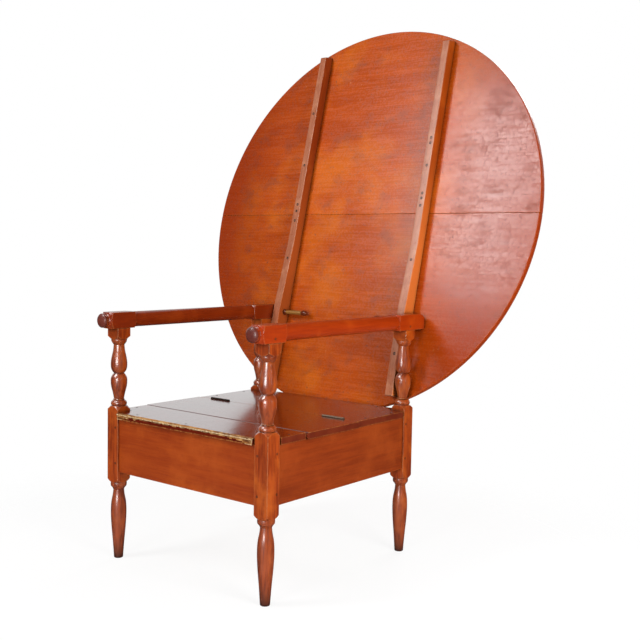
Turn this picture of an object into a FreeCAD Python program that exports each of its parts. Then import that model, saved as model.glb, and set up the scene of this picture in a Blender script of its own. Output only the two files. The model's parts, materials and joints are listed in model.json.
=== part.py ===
import FreeCAD, Part
import math
import os

# Chair table: an armchair with a box seat, whose round back swings down over the arms to make a table.
# Millimetres. +Z is up, the chair faces -Y, and left is -X. The origin is on the floor, under the middle.

# Driving dimensions of the whole
blank = 46.0               # square stock that posts and arms are turned from
post_spacing_x = 568.0     # between post axes, side to side
post_spacing_y = 595.0     # between post axes, front to back
seat_top = 425.0
arm_top = 708.0
top_diameter = 1254.0
top_thickness = 20.0
lean_deg = 13.7            # how far the upright top leans back

# Posts
block_low = 236.0          # where the corners of the long square block start
block_high = 428.0         # where they end
head_height = 21.0         # square head between the spindle and the arm
foot_ease = 1.5            # broken edge round the bottom of the foot
tenon_side = 24.0          # square tenon on top of a post
tenon_height = 28.0

# Arms
knob_length = 24.0         # turned end in front of the front block
arm_block_reach = 43.5     # front block, each way from the post axis
rear_block_reach = 56.0    # rear block, forward from the post axis
arm_shoulder = 7.0         # length over which a block's corners are turned away
arm_bar_diameter = 44.0
heel_radius = 48.0         # easing of the top rear corner
heel_run = 12.5            # how far ahead of the pivot the easing starts
arm_peg_height = 11.0      # above the arm's underside

# Pivot of the top
pivot_drop = 23.5          # pivot axis below the arm's top
peg_diameter = 15.0
peg_wall = 8.0             # wood left at the blind end of the bore in the arm
peg_collar_diameter = 17.5
peg_collar_length = 11.0
peg_grip_diameter = 14.0
peg_grip_length = 64.0
peg_knob_diameter = 17.5
peg_knob_length = 26.0
peg_ease = 1.5             # broken edge at the end of the shank

# Top and cleats
top_hang = 296.5           # lower rim from the pivot, along the top
top_joint_up = 9.0         # joint of the two boards above the centre
top_arris = 3.0            # rounding of the rim
joint_arris = 0.8          # broken edge along the joint
dowel_diameter = 10.0
dowel_length = 60.0
dowel_count = 5
cleat_width = 28.0
cleat_depth = 35.5         # along the upper stretch
cleat_pivot_depth = 50.0   # at the pivot
cleat_foot_depth = 44.0    # at the lower end
cleat_swell = 230.0        # from the pivot up to where the extra depth ends
cleat_upper_gap = 5.0      # from the ends of a cleat to the rim
cleat_lower_gap = 9.0
cleat_bevel = 11.0         # slope of the upper end
cleat_arris = 1.5
cleat_screw_diameter = 5.0
cleat_screw_head = 9.0
cleat_screw_bite = 12.0    # depth of the screw in the top board
cleat_screw_slot = 1.2

# Seat box
board = 20.0               # thickness of the four sides
side_setback = 5.0         # front and side boards behind the faces of the blocks
apron_bottom = 253.0
tenon_thickness = 9.0
tenon_depth = 20.0
tenon_shoulder = 12.0      # above and below an apron's tenon
mortise_relief = 1.0
pin_diameter = 7.0         # draw-bore pegs
pin_length = 32.0
pin_inset = 11.0           # from the tenon's shoulder
pin_edge = 26.0            # from the board's top or bottom edge
pin_stagger = 5.0          # side pegs above those of the front and rear

# Seat boards
seat_thickness = 18.0
seat_front_overhang = 5.0
lid_overhang = 6.0         # lid past the posts at each end
front_board_depth = 150.0
lid_depth = 220.0
seam = 1.5                 # between front board and lid
post_notch_gap = 3.0       # round the posts
seat_arris = 2.0
lid_corner = 6.0

# Lid hinges
hinge_length = 76.0
hinge_offset = 221.0       # from the middle to each hinge
hinge_seam = 1.2
hinge_rise = 1.5           # pin axis above the seat
knuckle_diameter = 7.0
knuckle_count = 5
leaf_thickness = 1.6
leaf_depth = 14.0
hinge_pin_diameter = 3.2
hinge_pin_head = 1.0
hinge_screw_diameter = 3.2
hinge_screw_head = 6.0
hinge_screw_length = 18.0
hinge_screw_count = 3

# Floor of the box and nails
ledger = 18.0
floor_thickness = 12.0
floor_board_count = 4
floor_gap = 0.5
nail_diameter = 3.0
nail_head = 6.5
nail_head_thickness = 1.2
nail_length = 36.0
ledger_nail_count = 3

# Clearances
rest_gap = 0.3             # between faces that rest on each other across a joint
running = 0.06             # radial, pin in bore
side_gap = 1.5             # beside the cleats
post_gap = 2.0             # between the rear posts and the hanging rim of the top
rim_gap = 4.5              # between the rear board and that rim
cleat_seat_gap = 15.0      # least height of a cleat's lower end above the seat
knuckle_gap = 0.3
overrun = 2.0              # past a face, for every cut
edge_tolerance = 0.01      # when an edge is picked by its place

# Turned outlines: shares of the zone's height, then of half the blank
foot_shares = ((0.20, 0.70), (0.44, 0.905), (0.595, 0.957), (0.70, 0.885), (0.785, 0.72), (0.845, 0.652))
foot_end_share = 0.555
foot_cove_shares = ((0.866, 0.76), (0.889, 0.957))
foot_collar_shares = ((0.912, 0.985), (0.937, 0.965))
foot_pommel_shares = (0.966, 1.28)
spindle_pommel_shares = ((0.032, 1.24), (0.065, 0.99))
torus_shares = ((0.094, 0.92), (0.137, 0.70))
neck_bead_shares = ((0.139, 0.655), (0.147, 0.70), (0.156, 0.655))
baluster_shares = ((0.239, 0.743), (0.31, 0.857), (0.375, 0.905), (0.437, 0.88), (0.471, 0.775),
                   (0.497, 0.61))
vase_shares = ((0.524, 0.79), (0.556, 0.89), (0.61, 0.947), (0.683, 0.895), (0.747, 0.79), (0.803, 0.69),
               (0.876, 0.635))
ring_shares = ((0.90, 0.82), (0.925, 0.935), (0.949, 0.955))
head_pommel_shares = (0.976, 1.20)
# The knob: shares of its length from the block, then of half the blank
knob_neck_shares = ((0.14, 0.93), (0.25, 0.76))
bead_shares = ((0.27, 0.78), (0.40, 0.86), (0.53, 0.78))
button_shares = ((0.57, 0.80), (0.68, 0.875), (0.90, 0.62))
bar_shoulder_share = 0.97
# The peg's grip and knob: shares of the length, then of the diameter
grip_shares = ((0.0, 0.96), (0.5, 1.0), (1.0, 0.96))
knob_shares = ((0.0, 0.80), (0.22, 0.98), (0.62, 0.98), (1.0, 0.30))
collar_shares = ((0.0, 0.90), (0.5, 1.0), (1.0, 0.80))
# Screws along a cleat, nails along the boards: shares from the middle to the end
cleat_screw_shares = {
    "left": (0.63, 0.306, 0.062, 0.022, -0.037, -0.27, -0.775),
    "right": (0.428, 0.397, 0.27, 0.113, 0.085, 0.044, -0.26, -0.775),
}
front_nail_shares = (-0.75, 0.0, 0.75)
rear_side_nail_shares = (0.25, 0.8)
floor_nail_shares = (0.25, 0.75)

# What follows from the driving dimensions
half = blank / 2
block_radius = half * math.sqrt(2) + overrun
post_x = post_spacing_x / 2
post_y = post_spacing_y / 2
inner_x = post_x - half
outer_x = post_x + half
arm_bottom = arm_top - blank
arm_axis_z = arm_top - half
head_low = arm_bottom - head_height
pivot_z = arm_top - pivot_drop
underside = pivot_drop + rest_gap
lean = math.radians(lean_deg)
top_radius = top_diameter / 2
top_centre_up = top_radius - top_hang
hang_at_post = math.sqrt(top_radius ** 2 - post_x ** 2) - top_centre_up
pivot_behind_post = half + post_gap + hang_at_post * math.sin(lean) - underside * math.cos(lean)
pivot_y = post_y + pivot_behind_post
stop_height = pivot_z - arm_bottom
arm_end = pivot_y + (underside - rest_gap - stop_height * math.sin(lean)) / math.cos(lean)
top_centre_z = pivot_z + top_centre_up
top_joint_z = top_centre_z + top_joint_up
underside_y = pivot_y + underside
cleat_outer_x = inner_x - side_gap
cleat_inner_x = cleat_outer_x - cleat_width
cleat_chord = math.sqrt(top_radius ** 2 - cleat_outer_x ** 2)
cleat_upper_end = cleat_chord - cleat_upper_gap
room_above_seat = pivot_z - seat_top - cleat_seat_gap + (cleat_foot_depth - underside) * math.sin(lean)
cleat_lower_end = min(cleat_chord - cleat_lower_gap, top_centre_up + room_above_seat / math.cos(lean))
seat_bottom = seat_top - seat_thickness
front_face = -post_y - half
seat_front = front_face - seat_front_overhang
front_board_back = seat_front + front_board_depth
lid_front = front_board_back + seam
lid_back = lid_front + lid_depth
rear_board_front = lid_back + hinge_seam
hinge_y = lid_back + hinge_seam / 2
hinge_z = seat_top + hinge_rise
side_outer = outer_x - side_setback
side_inner = side_outer - board
front_outer = front_face + side_setback
front_inner = front_outer + board
rim_forward = (top_hang - top_arris) * math.sin(lean) - underside * math.cos(lean)
rear_outer = pivot_y - rim_forward - rim_gap
rear_inner = rear_outer - board
floor_bottom = apron_bottom + ledger
# The model is drawn about the middle of the four posts, and moved along Y so that its own middle is at zero
front_reach = post_y + arm_block_reach + knob_length
rim_back = underside + top_thickness - top_arris
rim_up = top_centre_up + top_radius - top_arris
rear_reach = pivot_y + rim_back * math.cos(lean) + rim_up * math.sin(lean) + top_arris
middle_y = (rear_reach - front_reach) / 2
SIDES = (("left", -1), ("right", 1))
ENDS = (("front", -1), ("rear", 1))


def vec(x, y, z):
    return FreeCAD.Vector(x, y, z)


def box(low, high):
    """A box between two corners."""
    size = [b - a for a, b in zip(low, high)]
    return Part.makeBox(size[0], size[1], size[2], vec(low[0], low[1], low[2]))


def mirrored_box(side, low, high):
    """A box given on the right, on either side of the middle."""
    if side > 0:
        return box(low, high)
    return box((-high[0], low[1], low[2]), (-low[0], high[1], high[2]))


def rod(start, direction, length, diameter):
    return Part.makeCylinder(diameter / 2, length, start, direction)


def spline(points):
    curve = Part.BSplineCurve()
    curve.interpolate(points)
    return curve.toShape()


def arc(start, middle, end):
    return Part.Arc(start, middle, end).toShape()


def line(start, end):
    return Part.LineSegment(start, end).toShape()


def lines(points):
    return [line(start, end) for start, end in zip(points, points[1:])]


def revolve(edges):
    """Turn an outline in the XZ plane, x being the radius, about the Z axis."""
    first = edges[0].firstVertex().Point
    last = edges[-1].lastVertex().Point
    centre_low = vec(0, 0, first.z)
    centre_high = vec(0, 0, last.z)
    closed = list(edges)
    if first.x > 0:
        closed.insert(0, line(centre_low, first))
    if last.x > 0:
        closed.append(line(last, centre_high))
    closed.append(line(centre_high, centre_low))
    face = Part.Face(Part.Wire(Part.__sortEdges__(closed)))
    return face.revolve(vec(0, 0, 0), vec(0, 0, 1), 360)


def countersunk(start, direction, length, diameter, head):
    """A screw or its hole: a shank and a cone under a flat head, whose face is at start."""
    cone = Part.makeCone(head / 2, diameter / 2, (head - diameter) / 2, start, direction)
    return cone.fuse(rod(start, direction, length, diameter)).removeSplitter()


def nail(start, direction, length):
    """A cut nail set flush, whose head is at start."""
    head = rod(start, direction, nail_head_thickness, nail_head)
    return head.fuse(rod(start, direction, length, nail_diameter)).removeSplitter()


def cut_all(shape, tools):
    for tool in tools:
        shape = shape.cut(tool)
    return shape


# Posts
def post_outline():
    """The turned outline of a post, from the floor to the arm."""
    spindle = head_low - block_high

    def foot_point(share, radius_share):
        return vec(radius_share * half, 0, share * block_low)

    def spindle_point(share, radius_share):
        return vec(radius_share * half, 0, block_high + share * spindle)

    foot_end = foot_end_share * half
    foot_start = vec(foot_end, 0, foot_ease)
    foot = [foot_point(*pair) for pair in foot_shares]
    cove = [foot_point(*pair) for pair in foot_cove_shares]
    collar = [foot_point(*pair) for pair in foot_collar_shares]
    block_start = vec(block_radius, 0, block_low)
    block_end = vec(block_radius, 0, block_high)
    pommel = [spindle_point(*pair) for pair in spindle_pommel_shares]
    torus = [spindle_point(*pair) for pair in torus_shares]
    neck_bead = [spindle_point(*pair) for pair in neck_bead_shares]
    baluster = [spindle_point(*pair) for pair in baluster_shares]
    vase = [spindle_point(*pair) for pair in vase_shares]
    ring = [spindle_point(*pair) for pair in ring_shares]
    head_start = vec(block_radius, 0, head_low)
    return [
        line(vec(foot_end - foot_ease, 0, 0), foot_start),
        spline([foot_start] + foot),
        arc(foot[-1], cove[0], cove[1]),
        arc(cove[1], collar[0], collar[1]),
        arc(collar[1], foot_point(*foot_pommel_shares), block_start),
        line(block_start, block_end),
        arc(block_end, pommel[0], pommel[1]),
        arc(pommel[1], torus[0], torus[1]),
        line(torus[1], neck_bead[0]),
        arc(*neck_bead),
        spline([neck_bead[-1]] + baluster),
        spline([baluster[-1]] + vase),
        line(vase[-1], ring[0]),
        arc(ring[0], ring[1], ring[2]),
        arc(ring[2], spindle_point(*head_pommel_shares), head_start),
        line(head_start, vec(block_radius, 0, arm_bottom)),
    ]


def post_blank():
    """One post about the Z axis, with its tenon but without mortises."""
    square = box((-half, -half, 0), (half, half, arm_bottom))
    turned = revolve(post_outline()).common(square)
    tenon_half = tenon_side / 2
    tenon = box((-tenon_half, -tenon_half, arm_bottom), (tenon_half, tenon_half, arm_bottom + tenon_height))
    return turned.fuse(tenon).removeSplitter()


# Arms
def arm_outline():
    """The turned outline of an arm, along Z from the tip of its knob to its rear end."""
    front_block = -post_y - arm_block_reach
    front_block_end = -post_y + arm_block_reach
    rear_block = post_y - rear_block_reach
    bar = arm_bar_diameter / 2
    shoulder = bar_shoulder_share * half

    def knob_point(share, radius_share):
        return vec(radius_share * half, 0, front_block - share * knob_length)

    neck = [knob_point(*pair) for pair in knob_neck_shares]
    bead = [knob_point(*pair) for pair in bead_shares]
    button = [knob_point(*pair) for pair in button_shares]
    tip = vec(0, 0, front_block - knob_length)
    block_start = front_block + arm_shoulder
    block_end = front_block_end - arm_shoulder
    shoulder_start = vec(shoulder, 0, front_block)
    outline = [
        shoulder_start,
        vec(block_radius, 0, block_start),
        vec(block_radius, 0, block_end),
        vec(shoulder, 0, front_block_end),
        vec(bar, 0, front_block_end),
        vec(bar, 0, rear_block),
        vec(shoulder, 0, rear_block),
        vec(block_radius, 0, rear_block + arm_shoulder),
        vec(block_radius, 0, arm_end),
    ]
    dome = arc(tip, button[2], button[1])
    groove = lines([button[1], button[0], bead[2]])
    bead_and_neck = [
        arc(bead[2], bead[1], bead[0]),
        line(bead[0], neck[1]),
        arc(neck[1], neck[0], shoulder_start),
    ]
    return [dome] + groove + bead_and_neck + lines(outline)


def heel_cutter():
    """What the easing takes off the top rear corner of an arm."""
    start_y = pivot_y - heel_run
    drop_y = arm_end + overrun - start_y
    drop = heel_radius - math.sqrt(heel_radius ** 2 - drop_y ** 2)
    half_drop = heel_radius - math.sqrt(heel_radius ** 2 - (drop_y / 2) ** 2)
    start = vec(-blank, start_y, arm_top)
    end = vec(-blank, arm_end + overrun, arm_top - drop)
    above_end = vec(-blank, arm_end + overrun, arm_top + overrun)
    above_start = vec(-blank, start_y, arm_top + overrun)
    edges = [
        arc(start, vec(-blank, start_y + drop_y / 2, arm_top - half_drop), end),
        line(end, above_end),
        line(above_end, above_start),
        line(above_start, start),
    ]
    return Part.Face(Part.Wire(edges)).extrude(vec(blank * 2, 0, 0))


def arm_blank():
    """One arm in the plane x = 0, without mortises or bores."""
    turned = revolve(arm_outline())
    turned.rotate(vec(0, 0, 0), vec(1, 0, 0), -90)
    turned.translate(vec(0, 0, arm_axis_z))
    square = box((-half, -front_reach - overrun, arm_bottom), (half, arm_end, arm_top))
    return turned.common(square).cut(heel_cutter())


def arm_peg(side, end):
    """A peg through the arm's outer face into the post's tenon."""
    start = vec(side * outer_x, end * post_y, arm_bottom + arm_peg_height)
    return rod(start, vec(-side, 0, 0), pin_length, pin_diameter)


def pivot_bore(side, radius_clearance):
    """The bore that a pivot peg runs in, through the cleat and blind in the arm."""
    start = vec(side * (cleat_inner_x - overrun), pivot_y, pivot_z)
    length = outer_x - peg_wall - cleat_inner_x + overrun
    return rod(start, vec(side, 0, 0), length, peg_diameter + 2 * radius_clearance)


# Sides of the seat box
def apron_parts(run_low, run_high, across_low, across_high, along_x):
    """A board with a tenon at each end, as a list of boxes: the board and its tenons."""
    middle = (across_low + across_high) / 2
    tenon_low = middle - tenon_thickness / 2
    tenon_high = middle + tenon_thickness / 2
    tenon_bottom = apron_bottom + tenon_shoulder
    tenon_top = seat_bottom - tenon_shoulder
    spans = (
        (run_low, run_high, across_low, across_high, apron_bottom, seat_bottom),
        (run_low - tenon_depth, run_low, tenon_low, tenon_high, tenon_bottom, tenon_top),
        (run_high, run_high + tenon_depth, tenon_low, tenon_high, tenon_bottom, tenon_top),
    )
    boxes = []
    for r0, r1, a0, a1, z0, z1 in spans:
        if along_x:
            boxes.append(box((r0, a0, z0), (r1, a1, z1)))
        else:
            boxes.append(box((a0, r0, z0), (a1, r1, z1)))
    return boxes


def mortise(side, end, along_x):
    """The mortise in one post for a front or rear board (along_x) or a side board."""
    tenon_bottom = apron_bottom + tenon_shoulder
    tenon_top = seat_bottom - tenon_shoulder
    depth = tenon_depth + mortise_relief
    if along_x:
        outer, inner = (front_outer, front_inner) if end < 0 else (rear_outer, rear_inner)
        middle = (outer + inner) / 2
        low = (inner_x - overrun, middle - tenon_thickness / 2, tenon_bottom)
        high = (inner_x + depth, middle + tenon_thickness / 2, tenon_top)
        return mirrored_box(side, low, high)
    middle = (side_outer + side_inner) / 2
    near = post_y - half - overrun
    far = post_y - half + depth
    y_low, y_high = (near, far) if end > 0 else (-far, -near)
    low = (middle - tenon_thickness / 2, y_low, tenon_bottom)
    high = (middle + tenon_thickness / 2, y_high, tenon_top)
    return mirrored_box(side, low, high)


def apron_pins(side, end):
    """The four draw-bore pegs of one post: two from the front or rear, two from the side."""
    pins = []
    for z in (apron_bottom + pin_edge, seat_bottom - pin_edge):
        end_start = vec(side * (inner_x + pin_inset), end * (post_y + half), z)
        pins.append(rod(end_start, vec(0, -end, 0), pin_length, pin_diameter))
        side_start = vec(side * outer_x, end * (post_y - half + pin_inset), z + pin_stagger)
        pins.append(rod(side_start, vec(-side, 0, 0), pin_length, pin_diameter))
    return pins


# Seat boards
def seat_boards():
    """The fixed front board, the lid and the fixed rear board, before hinges and nails."""
    corner = post_notch_gap + half
    front = box((-outer_x, seat_front, seat_bottom), (outer_x, front_board_back, seat_top))
    front = front.makeFillet(seat_arris, [e for e in front.Edges if on_front_edge(e, seat_front)])
    rear = box((-outer_x, rear_board_front, seat_bottom), (outer_x, rear_outer, seat_top))
    for name, side in SIDES:
        low_x = post_x - corner
        high_x = outer_x + overrun
        front_notch = ((low_x, seat_front - overrun, seat_bottom - overrun),
                       (high_x, -post_y + corner, seat_top + overrun))
        rear_notch = ((low_x, post_y - corner, seat_bottom - overrun),
                      (high_x, rear_outer + overrun, seat_top + overrun))
        front = front.cut(mirrored_box(side, *front_notch))
        rear = rear.cut(mirrored_box(side, *rear_notch))
    lid_x = outer_x + lid_overhang
    lid = box((-lid_x, lid_front, seat_bottom + rest_gap), (lid_x, lid_back, seat_top))
    corners = [e for e in lid.Edges if is_upright(e) and e.CenterOfMass.y < lid_front + seat_arris]
    lid = lid.makeFillet(lid_corner, corners)
    return front, lid, rear


def is_upright(edge):
    first, last = edge.firstVertex().Point, edge.lastVertex().Point
    return first.x == last.x and first.y == last.y


def on_front_edge(edge, y):
    """The top arris along the front of a board."""
    middle = edge.CenterOfMass
    return abs(middle.y - y) < edge_tolerance and abs(middle.z - seat_top) < edge_tolerance


# Lid hinges
def knuckle_spans(x_middle):
    """The knuckles of one hinge, as pairs of x, from left to right."""
    pitch = hinge_length / knuckle_count
    start = x_middle - hinge_length / 2
    spans = []
    for index in range(knuckle_count):
        low = start + index * pitch
        spans.append((low + knuckle_gap / 2, low + pitch - knuckle_gap / 2))
    return spans


def barrel(span, diameter):
    start = vec(span[0], hinge_y, hinge_z)
    return rod(start, vec(1, 0, 0), span[1] - span[0], diameter)


def hinge_leaf(x_middle, toward):
    """A leaf let into the edge of its board: toward is -1 for the lid and 1 for the fixed board."""
    near = hinge_y + toward * hinge_seam / 2
    far = near + toward * leaf_thickness
    low = (x_middle - hinge_length / 2, min(near, far), seat_top - leaf_depth)
    high = (x_middle + hinge_length / 2, max(near, far), hinge_z)
    leaf = box(low, high)
    spans = knuckle_spans(x_middle)
    own = 0 if toward > 0 else 1
    for index, span in enumerate(spans):
        if index % 2 == own:
            leaf = leaf.fuse(barrel(span, knuckle_diameter))
        else:
            wide = (span[0] - knuckle_gap, span[1] + knuckle_gap)
            leaf = leaf.cut(barrel(wide, knuckle_diameter + 2 * knuckle_gap))
    whole = (x_middle - hinge_length, x_middle + hinge_length)
    return leaf.cut(barrel(whole, hinge_pin_diameter + 2 * running)).removeSplitter()


def leaf_recess(x_middle, toward):
    """What a leaf and the knuckles need out of the edge of a board."""
    near = hinge_y
    far = hinge_y + toward * (hinge_seam / 2 + leaf_thickness)
    low = (x_middle - hinge_length / 2, min(near, far), seat_top - leaf_depth)
    high = (x_middle + hinge_length / 2, max(near, far), seat_top + overrun)
    ends = (x_middle - hinge_length / 2 - hinge_pin_head - rest_gap,
            x_middle + hinge_length / 2 + hinge_pin_head + rest_gap)
    return box(low, high).fuse(barrel(ends, knuckle_diameter + 2 * knuckle_gap))


def hinge_pin(x_middle):
    """The pin of one hinge, with a small head at each end."""
    reach = hinge_length / 2
    head_diameter = (knuckle_diameter + hinge_pin_diameter) / 2
    shank = barrel((x_middle - reach, x_middle + reach), hinge_pin_diameter)
    left_head = barrel((x_middle - reach - hinge_pin_head, x_middle - reach), head_diameter)
    right_head = barrel((x_middle + reach, x_middle + reach + hinge_pin_head), head_diameter)
    return shank.fuse([left_head, right_head]).removeSplitter()


def hinge_screws(x_middle, toward):
    """The screws of one leaf, with their heads flush in it."""
    pitch = hinge_length / hinge_screw_count
    screws = []
    for index in range(hinge_screw_count):
        x = x_middle - hinge_length / 2 + (index + 1 / 2) * pitch
        start = vec(x, hinge_y + toward * hinge_seam / 2, seat_top - leaf_depth / 2 - knuckle_diameter / 4)
        screws.append(countersunk(start, vec(0, toward, 0), hinge_screw_length, hinge_screw_diameter,
                                  hinge_screw_head))
    return screws


# Floor of the box and nails
def floor_boards():
    """Boards across the box, from front to back, notched round the posts."""
    depth = (rear_inner - front_inner) / floor_board_count
    reach = side_inner - floor_gap
    boards = []
    for index in range(floor_board_count):
        low_y = front_inner + index * depth + floor_gap / 2
        high_y = front_inner + (index + 1) * depth - floor_gap / 2
        plank = box((-reach, low_y, floor_bottom), (reach, high_y, floor_bottom + floor_thickness))
        for name, side in SIDES:
            for end_name, end in ENDS:
                inner_y = post_y - half - floor_gap
                outer_y = post_y + half
                y_low, y_high = (inner_y, outer_y) if end > 0 else (-outer_y, -inner_y)
                low = (inner_x - floor_gap, y_low, floor_bottom - overrun)
                high = (outer_x, y_high, floor_bottom + floor_thickness + overrun)
                plank = plank.cut(mirrored_box(side, low, high))
        boards.append(plank)
    return boards


def ledger_strip(side):
    """The strip along a side board that carries the floor."""
    reach = post_y - half
    low = (side_inner - ledger, -reach, apron_bottom)
    high = (side_inner, reach, floor_bottom)
    return mirrored_box(side, low, high)


def seat_nails():
    """Nails down through the fixed seat boards into the sides of the box."""
    down = vec(0, 0, -1)
    front_y = (front_outer + front_inner) / 2
    rear_y = (rear_outer + rear_inner) / 2
    side_x = (side_outer + side_inner) / 2
    nails = []
    for share in front_nail_shares:
        for y in (front_y, rear_y):
            nails.append(nail(vec(share * inner_x, y, seat_top), down, nail_length))
    behind_notch = (-post_y + half + front_board_back) / 2
    for name, side in SIDES:
        nails.append(nail(vec(side * side_x, behind_notch, seat_top), down, nail_length))
        for share in rear_side_nail_shares:
            y = rear_board_front + share * (post_y - half - post_notch_gap - rear_board_front)
            nails.append(nail(vec(side * side_x, y, seat_top), down, nail_length))
    return nails


def floor_nails():
    """Nails down through the floor, that stop short of the ledgers' underside."""
    depth = (rear_inner - front_inner) / floor_board_count
    length = floor_thickness + ledger - nail_diameter
    reach = post_y - half
    x = side_inner - ledger / 2
    top = floor_bottom + floor_thickness
    nails = []
    for index in range(floor_board_count):
        for share in floor_nail_shares:
            y = front_inner + (index + share) * depth
            if abs(y) < reach - nail_head:
                for name, side in SIDES:
                    nails.append(nail(vec(side * x, y, top), vec(0, 0, -1), length))
    return nails


def ledger_nails():
    """Nails from inside through each ledger, that stop short of the outside of its board."""
    length = ledger + board - nail_diameter
    pitch = 2 * (post_y - half) / ledger_nail_count
    z = apron_bottom + ledger / 2
    nails = []
    for name, side in SIDES:
        for index in range(ledger_nail_count):
            y = -(post_y - half) + (index + 1 / 2) * pitch
            start = vec(side * (side_inner - ledger), y, z)
            nails.append(nail(start, vec(side, 0, 0), length))
    return nails


# Top and cleats, upright first and then leaned back about the pivot
def lean_back(shape):
    shape.rotate(vec(0, pivot_y, pivot_z), vec(1, 0, 0), -lean_deg)
    return shape


def top_disc():
    """The whole round top, with a rounded rim."""
    inner = top_radius - top_arris
    bow = top_arris * (1 - math.sqrt(1 / 2))
    low_edge = arc(vec(inner, 0, 0), vec(top_radius - bow, 0, bow), vec(top_radius, 0, top_arris))
    high = top_thickness - top_arris
    high_edge = arc(vec(top_radius, 0, high), vec(top_radius - bow, 0, top_thickness - bow),
                    vec(inner, 0, top_thickness))
    disc = revolve([low_edge, line(vec(top_radius, 0, top_arris), vec(top_radius, 0, high)), high_edge])
    disc.rotate(vec(0, 0, 0), vec(1, 0, 0), -90)
    disc.translate(vec(0, underside_y, top_centre_z))
    return disc


def board_space(upward):
    """The half of space that one board of the top keeps, with broken edges along the joint."""
    reach = top_diameter
    face = underside_y
    back = underside_y + top_thickness
    z = top_joint_z
    ease = upward * joint_arris
    far = z + upward * reach
    points = [(face, z + ease), (face + joint_arris, z), (back - joint_arris, z), (back, z + ease),
              (back + overrun, z + ease), (back + overrun, far), (face - overrun, far),
              (face - overrun, z + ease)]
    corners = [vec(-reach, y, up) for y, up in points]
    wire = Part.makePolygon(corners + corners[:1])
    return Part.Face(wire).extrude(vec(2 * reach, 0, 0))


def top_dowels():
    pitch = top_diameter / (dowel_count + 1)
    y = underside_y + top_thickness / 2
    start_z = top_joint_z - dowel_length / 2
    dowels = []
    for index in range(dowel_count):
        x = (index + 1) * pitch - top_radius
        dowels.append(rod(vec(x, y, start_z), vec(0, 0, 1), dowel_length, dowel_diameter))
    return dowels


def cleat_front():
    """Corners of a cleat's front on the upright top, from its lower to its upper end, as (y, z)."""
    return [
        (underside_y - cleat_foot_depth, top_centre_z - cleat_lower_end),
        (underside_y - cleat_pivot_depth, pivot_z),
        (underside_y - cleat_depth, pivot_z + cleat_swell),
        (underside_y - cleat_depth, top_centre_z + cleat_upper_end - cleat_bevel),
    ]


def cleat_front_at(height):
    """Where a cleat's front lies at a height on the upright top."""
    corners = cleat_front()
    for (low_y, low_z), (high_y, high_z) in zip(corners, corners[1:]):
        if low_z <= height <= high_z:
            return low_y + (high_y - low_y) * (height - low_z) / (high_z - low_z)
    return underside_y - cleat_depth


def cleat(side):
    """A cleat across the underside: deepest at the pivot, bevelled at its upper end, long edges broken."""
    low_z = top_centre_z - cleat_lower_end
    high_z = top_centre_z + cleat_upper_end
    points = cleat_front() + [(underside_y, high_z), (underside_y, low_z)]
    start_x = cleat_inner_x if side > 0 else -cleat_outer_x
    corners = [vec(start_x, y, z) for y, z in points]
    bar = Part.Face(Part.makePolygon(corners + corners[:1])).extrude(vec(cleat_width, 0, 0))
    long_edges = [e for e in bar.Edges if runs_up(e) and all(v.Point.y < pivot_y for v in e.Vertexes)]
    return bar.makeChamfer(cleat_arris, long_edges)


def runs_up(edge):
    first, last = edge.firstVertex().Point, edge.lastVertex().Point
    return first.x == last.x and first.z != last.z


def cleat_screws(name, side):
    """Slotted screws through a cleat into the top, with and without their slots."""
    x = side * (cleat_inner_x + cleat_width / 2)
    whole = []
    slotted = []
    for share in cleat_screw_shares[name]:
        z = top_centre_z + share * cleat_lower_end
        front_y = cleat_front_at(z)
        length = underside_y - front_y + cleat_screw_bite
        screw = countersunk(vec(x, front_y, z), vec(0, 1, 0), length, cleat_screw_diameter, cleat_screw_head)
        slot_low = (x - cleat_screw_head, front_y - overrun, z - cleat_screw_slot / 2)
        slot_high = (x + cleat_screw_head, front_y + cleat_screw_slot, z + cleat_screw_slot / 2)
        whole.append(screw)
        slotted.append(screw.cut(box(slot_low, slot_high)))
    return whole, slotted


def pivot_peg(side):
    """A turned peg along X: shank in the arm and cleat, collar, worn grip and knob."""
    shank_end = outer_x - peg_wall - rest_gap
    collar_start = cleat_inner_x - rest_gap
    grip_start = collar_start - peg_collar_length
    knob_start = grip_start - peg_grip_length

    def outline(shares, start, length, diameter):
        return [vec(radius * diameter / 2, 0, start - share * length) for share, radius in shares]

    collar = outline(collar_shares, collar_start, peg_collar_length, peg_collar_diameter)
    grip = outline(grip_shares, grip_start, peg_grip_length, peg_grip_diameter)
    knob = outline(knob_shares, knob_start, peg_knob_length, peg_knob_diameter)
    shank = peg_diameter / 2
    shank_outline = [
        vec(shank - peg_ease, 0, shank_end),
        vec(shank, 0, shank_end - peg_ease),
        vec(shank, 0, collar_start),
        collar[0],
    ]
    handle = [arc(*collar), line(collar[-1], grip[0]), arc(*grip), line(grip[-1], knob[0]), spline(knob)]
    peg = revolve(lines(shank_outline) + handle)
    peg.rotate(vec(0, 0, 0), vec(0, 1, 0), side * 90)
    peg.translate(vec(0, pivot_y, pivot_z))
    return peg


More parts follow.
